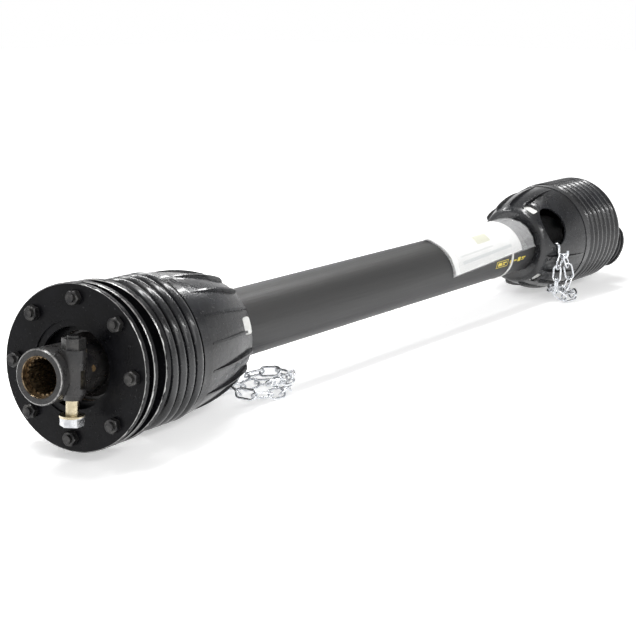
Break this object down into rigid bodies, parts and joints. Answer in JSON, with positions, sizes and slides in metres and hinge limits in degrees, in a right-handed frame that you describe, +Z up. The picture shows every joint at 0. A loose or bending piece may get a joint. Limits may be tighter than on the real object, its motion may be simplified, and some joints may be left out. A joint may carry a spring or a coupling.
{
  "type": "pto drive shaft",
  "caption": "Farm PTO drive shaft with two universal joints, telescoping profiled tubes, bellows guard cones, friction clutch, quick-release yoke and chains.",
  "frame": {"origin": "middle of the underside of the box round the whole part, on the floor it lies on", "axes": "+X along the guard tubes from the clutch end to the quick-release end, +Z up, -Y towards the side the picture shows"},
  "size_m": [1.0794, 0.1778, 0.167],
  "materials": {
    "black_paint": "satin paint, rubbed bright at the edges",
    "bright_steel": "ground and oiled",
    "tube_steel": "drawn, oiled",
    "hub_steel": "machined, with a film of rust",
    "plate_steel": "black with bright rims",
    "zinc": "bright zinc plating",
    "yellow_zinc": "yellow passivated zinc plating",
    "dark_steel": "blackened",
    "spring_steel": "blued",
    "bronze": "sintered",
    "lining": "pressed friction material",
    "guard_black": "glossy",
    "tube_black": "semi-matt, extruded",
    "white_nylon": "smooth",
    "bag": "clear film over white paper"
  },
  "bodies": {
    "shaft_near": {"near_inner_yoke": "black_paint", "near_inner_cups": "bright_steel", "near_inner_circlips": "spring_steel", "near_roll_pin": "spring_steel", "outer_profile_tube": "tube_steel"},
    "near_guard": {"near_slide_ring": "white_nylon", "near_cone": "guard_black", "near_bellows": "guard_black", "outer_guard_tube": "tube_black", "near_chain": "zinc", "near_chain_hook": "zinc", "document_pouch": "bag", "cable_tie": "white_nylon"},
    "near_spider": {"near_cross": "bright_steel", "near_nipple": "zinc"},
    "clutch": {"flange_yoke": "black_paint", "near_outer_cups": "bright_steel", "near_outer_circlips": "spring_steel", "hub_bush": "bronze", "friction_linings": "lining", "pressure_plate": "plate_steel", "disc_spring": "spring_steel", "cover_plate": "plate_steel", "clutch_bolts": "dark_steel", "clutch_nuts": "dark_steel"},
    "hub": {"clutch_hub": "hub_steel", "clamp_bolt": "yellow_zinc", "clamp_nut": "dark_steel"},
    "shaft_far": {"inner_profile_tube": "tube_steel", "far_inner_yoke": "black_paint", "far_inner_cups": "bright_steel", "far_inner_circlips": "spring_steel", "far_roll_pin": "spring_steel"},
    "far_guard": {"far_slide_ring": "white_nylon", "far_cone": "guard_black", "far_bellows": "guard_black", "inner_guard_tube": "tube_black", "far_chain": "zinc", "far_chain_hook": "zinc"},
    "far_spider": {"far_cross": "bright_steel", "far_nipple": "zinc"},
    "far_yoke": {"quick_yoke": "black_paint", "far_outer_cups": "bright_steel", "far_outer_circlips": "spring_steel", "lock_balls": "bright_steel", "lock_ring": "spring_steel", "lock_spring": "spring_steel"},
    "collar": {"lock_collar": "guard_black"}
  },
  "joints": [
    {"name": "near_guard_turn", "type": "hinge", "parent": "shaft_near", "child": "near_guard", "pos_m": [-0.40067, 0.01136, 0.0775], "axis": [1, 0, 0], "continuous": true},
    {"name": "near_yaw", "type": "hinge", "parent": "shaft_near", "child": "near_spider", "pos_m": [-0.40067, 0.01136, 0.0775], "axis": [0, 0, 1], "range_deg": [-33, 1]},
    {"name": "near_pitch", "type": "hinge", "parent": "near_spider", "child": "clutch", "pos_m": [-0.40067, 0.01136, 0.0775], "axis": [-0.2756, 0.9613, 0], "range_deg": [-20, 6]},
    {"name": "clutch_slip", "type": "hinge", "parent": "clutch", "child": "hub", "pos_m": [-0.45601, -0.00451, 0.08457], "axis": [-0.9541, -0.2736, 0.1219], "continuous": true},
    {"name": "telescope", "type": "slide", "parent": "shaft_near", "child": "shaft_far", "axis": [1, 0, 0], "range_m": [0, 0.25]},
    {"name": "far_guard_turn", "type": "hinge", "parent": "shaft_far", "child": "far_guard", "pos_m": [0.43933, 0.01136, 0.0775], "axis": [1, 0, 0], "continuous": true},
    {"name": "far_yaw", "type": "hinge", "parent": "shaft_far", "child": "far_spider", "pos_m": [0.43933, 0.01136, 0.0775], "axis": [0, 0, 1], "range_deg": [0, 50]},
    {"name": "far_pitch", "type": "hinge", "parent": "far_spider", "child": "far_yoke", "pos_m": [0.43933, 0.01136, 0.0775], "axis": [0.4226, 0.9063, 0], "range_deg": [-40, 4]},
    {"name": "collar_slide", "type": "slide", "parent": "far_yoke", "child": "collar", "axis": [-0.8619, 0.4019, 0.309], "range_m": [0, 0.009], "stiffness_N_per_m": 2500, "springref_m": -0.008, "deforming": ["lock_spring"]}
  ]
}
